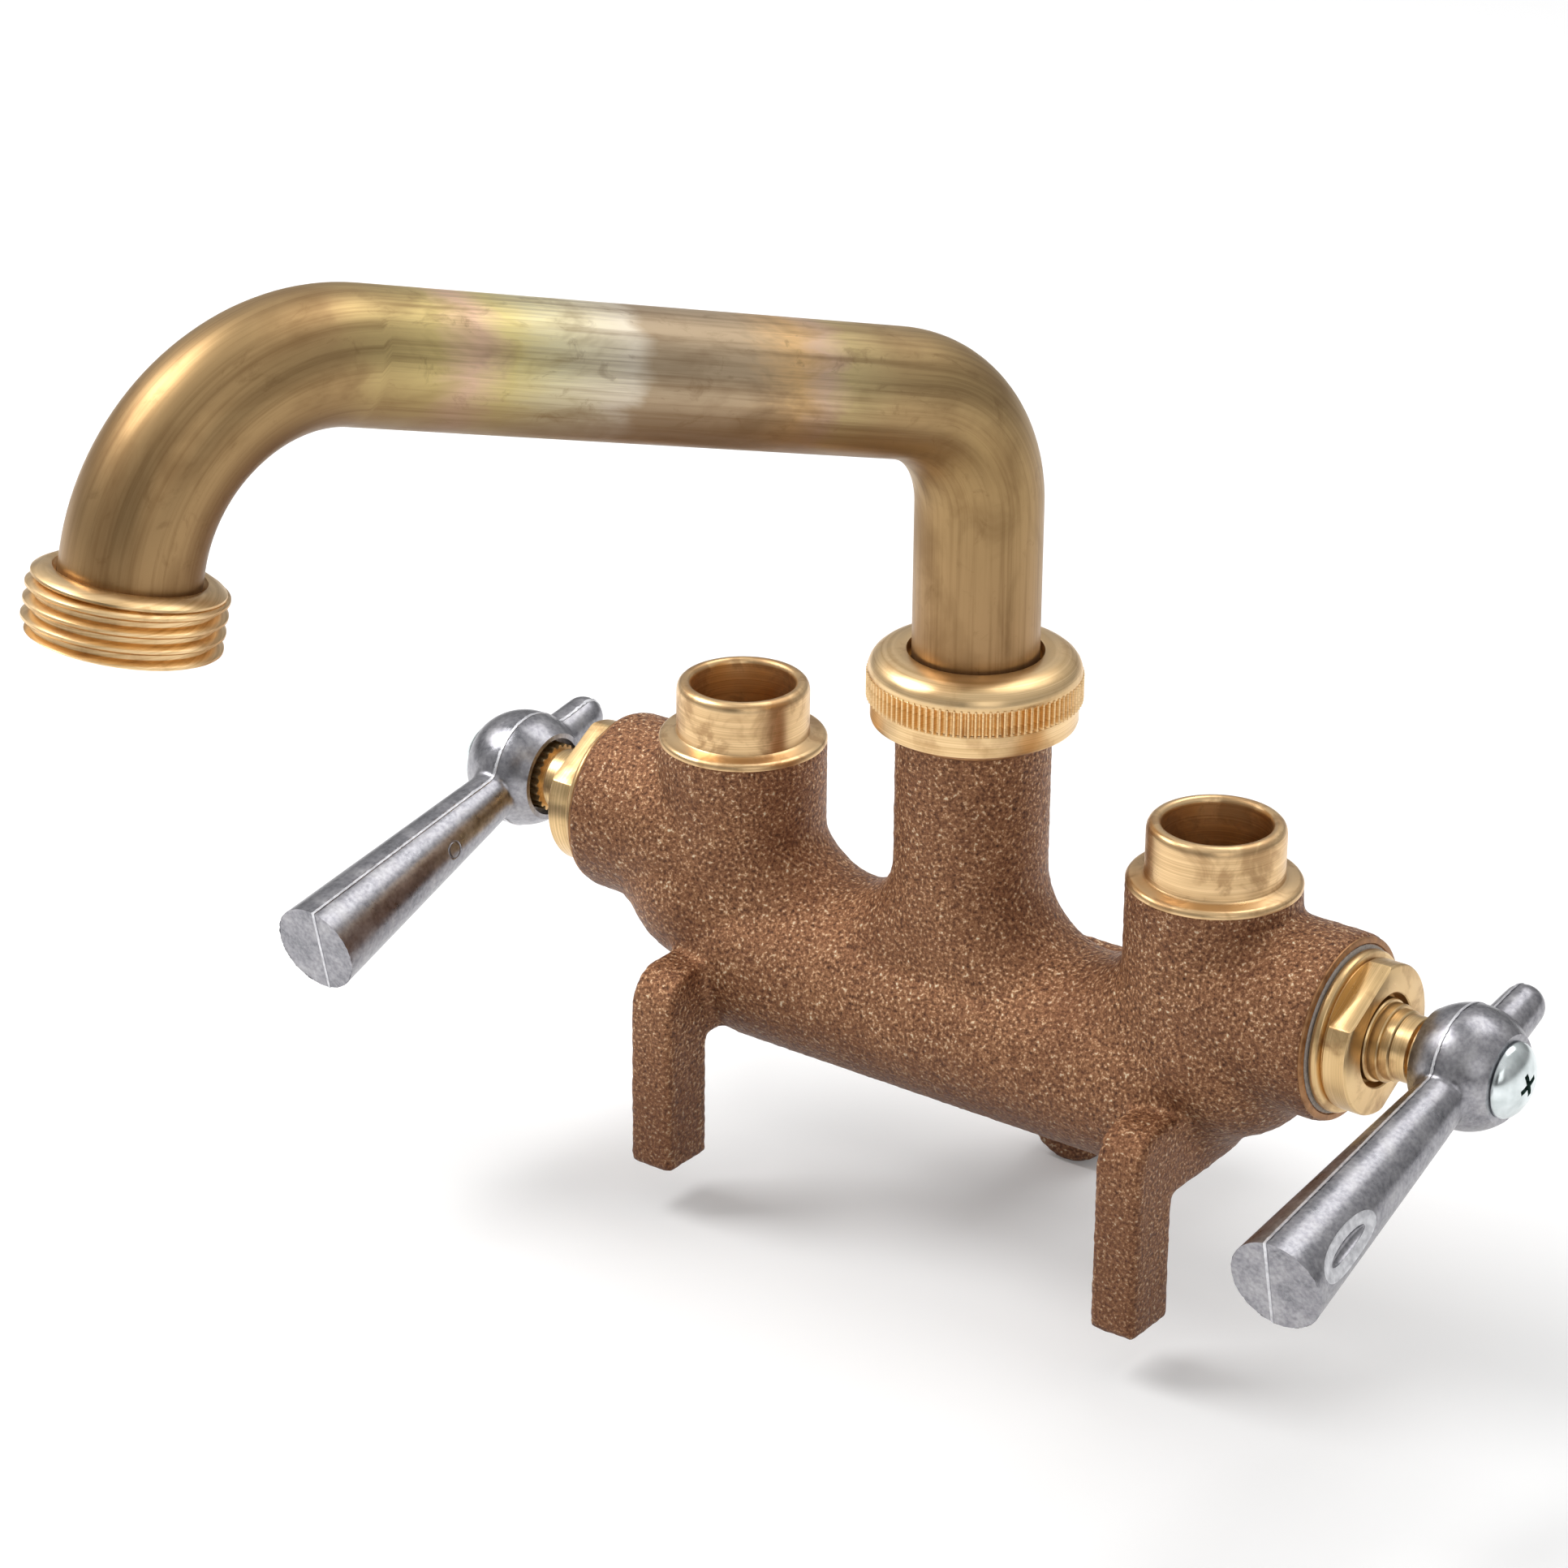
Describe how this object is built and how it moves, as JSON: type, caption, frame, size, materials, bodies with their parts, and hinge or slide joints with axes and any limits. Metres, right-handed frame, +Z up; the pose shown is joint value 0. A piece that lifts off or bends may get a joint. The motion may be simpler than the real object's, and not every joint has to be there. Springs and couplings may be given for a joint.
{
  "type": "utility sink faucet",
  "caption": "Two-handle utility sink faucet: rough cast body with clamp legs, lever handles, soldered inlets on top, and a swing tube spout with a garden hose thread.",
  "frame": {"origin": "middle of the flat under the cross pipe that rests on the tub's rim, below the spout's riser", "axes": "+X to the right seen from the front, +Y to the wall, +Z up along the riser"},
  "size_m": [0.192, 0.1884, 0.1768],
  "materials": {
    "cast_bronze": "rough sand-cast",
    "turned_brass": "fine turned",
    "tube_brass": "satin, heat-tinted",
    "zinc_casting": "satin die-cast",
    "zinc_plate": "bright plated",
    "fibre": "matt",
    "rubber": "matt",
    "slip_washer": "matt"
  },
  "bodies": {
    "body": {"body_casting": "cast_bronze", "hot_seat": "turned_brass", "cold_seat": "turned_brass", "hot_bonnet_gasket": "fibre", "cold_bonnet_gasket": "fibre", "hot_bonnet": "turned_brass", "cold_bonnet": "turned_brass", "spout_nut": "turned_brass", "spout_friction_washer": "slip_washer"},
    "spout": {"spout_spigot": "turned_brass", "spout_o_ring": "rubber", "spout_tube": "tube_brass", "hose_end": "turned_brass"},
    "hot_washer": {"hot_seat_washer": "rubber"},
    "hot_valve": {"hot_stem": "turned_brass", "hot_stem_o_ring": "rubber", "hot_washer_screw": "turned_brass", "hot_handle": "zinc_casting", "hot_handle_screw": "zinc_plate"},
    "cold_washer": {"cold_seat_washer": "rubber"},
    "cold_valve": {"cold_stem": "turned_brass", "cold_stem_o_ring": "rubber", "cold_washer_screw": "turned_brass", "cold_handle": "zinc_casting", "cold_handle_screw": "zinc_plate"}
  },
  "joints": [
    {"name": "spout_swing", "type": "hinge", "parent": "body", "child": "spout", "pos_m": [0, 0, 0.066], "axis": [0, 0, 1], "continuous": true},
    {"name": "hot_rise", "type": "slide", "parent": "body", "child": "hot_washer", "axis": [-1, 0, 0], "range_m": [0, 0.003]},
    {"name": "hot_turn", "type": "hinge", "parent": "hot_washer", "child": "hot_valve", "pos_m": [-0.0864, 0, 0.0313], "axis": [-1, 0, 0], "range_deg": [0, 180]},
    {"name": "cold_rise", "type": "slide", "parent": "body", "child": "cold_washer", "axis": [1, 0, 0], "range_m": [0, 0.003]},
    {"name": "cold_turn", "type": "hinge", "parent": "cold_washer", "child": "cold_valve", "pos_m": [0.0864, 0, 0.0313], "axis": [-1, 0, 0], "range_deg": [0, 180]}
  ],
  "couplings": [
    {"joint": "hot_turn", "follows": "hot_rise", "rad_per_m": 1047.1},
    {"joint": "cold_turn", "follows": "cold_rise", "rad_per_m": 1047.1}
  ]
}
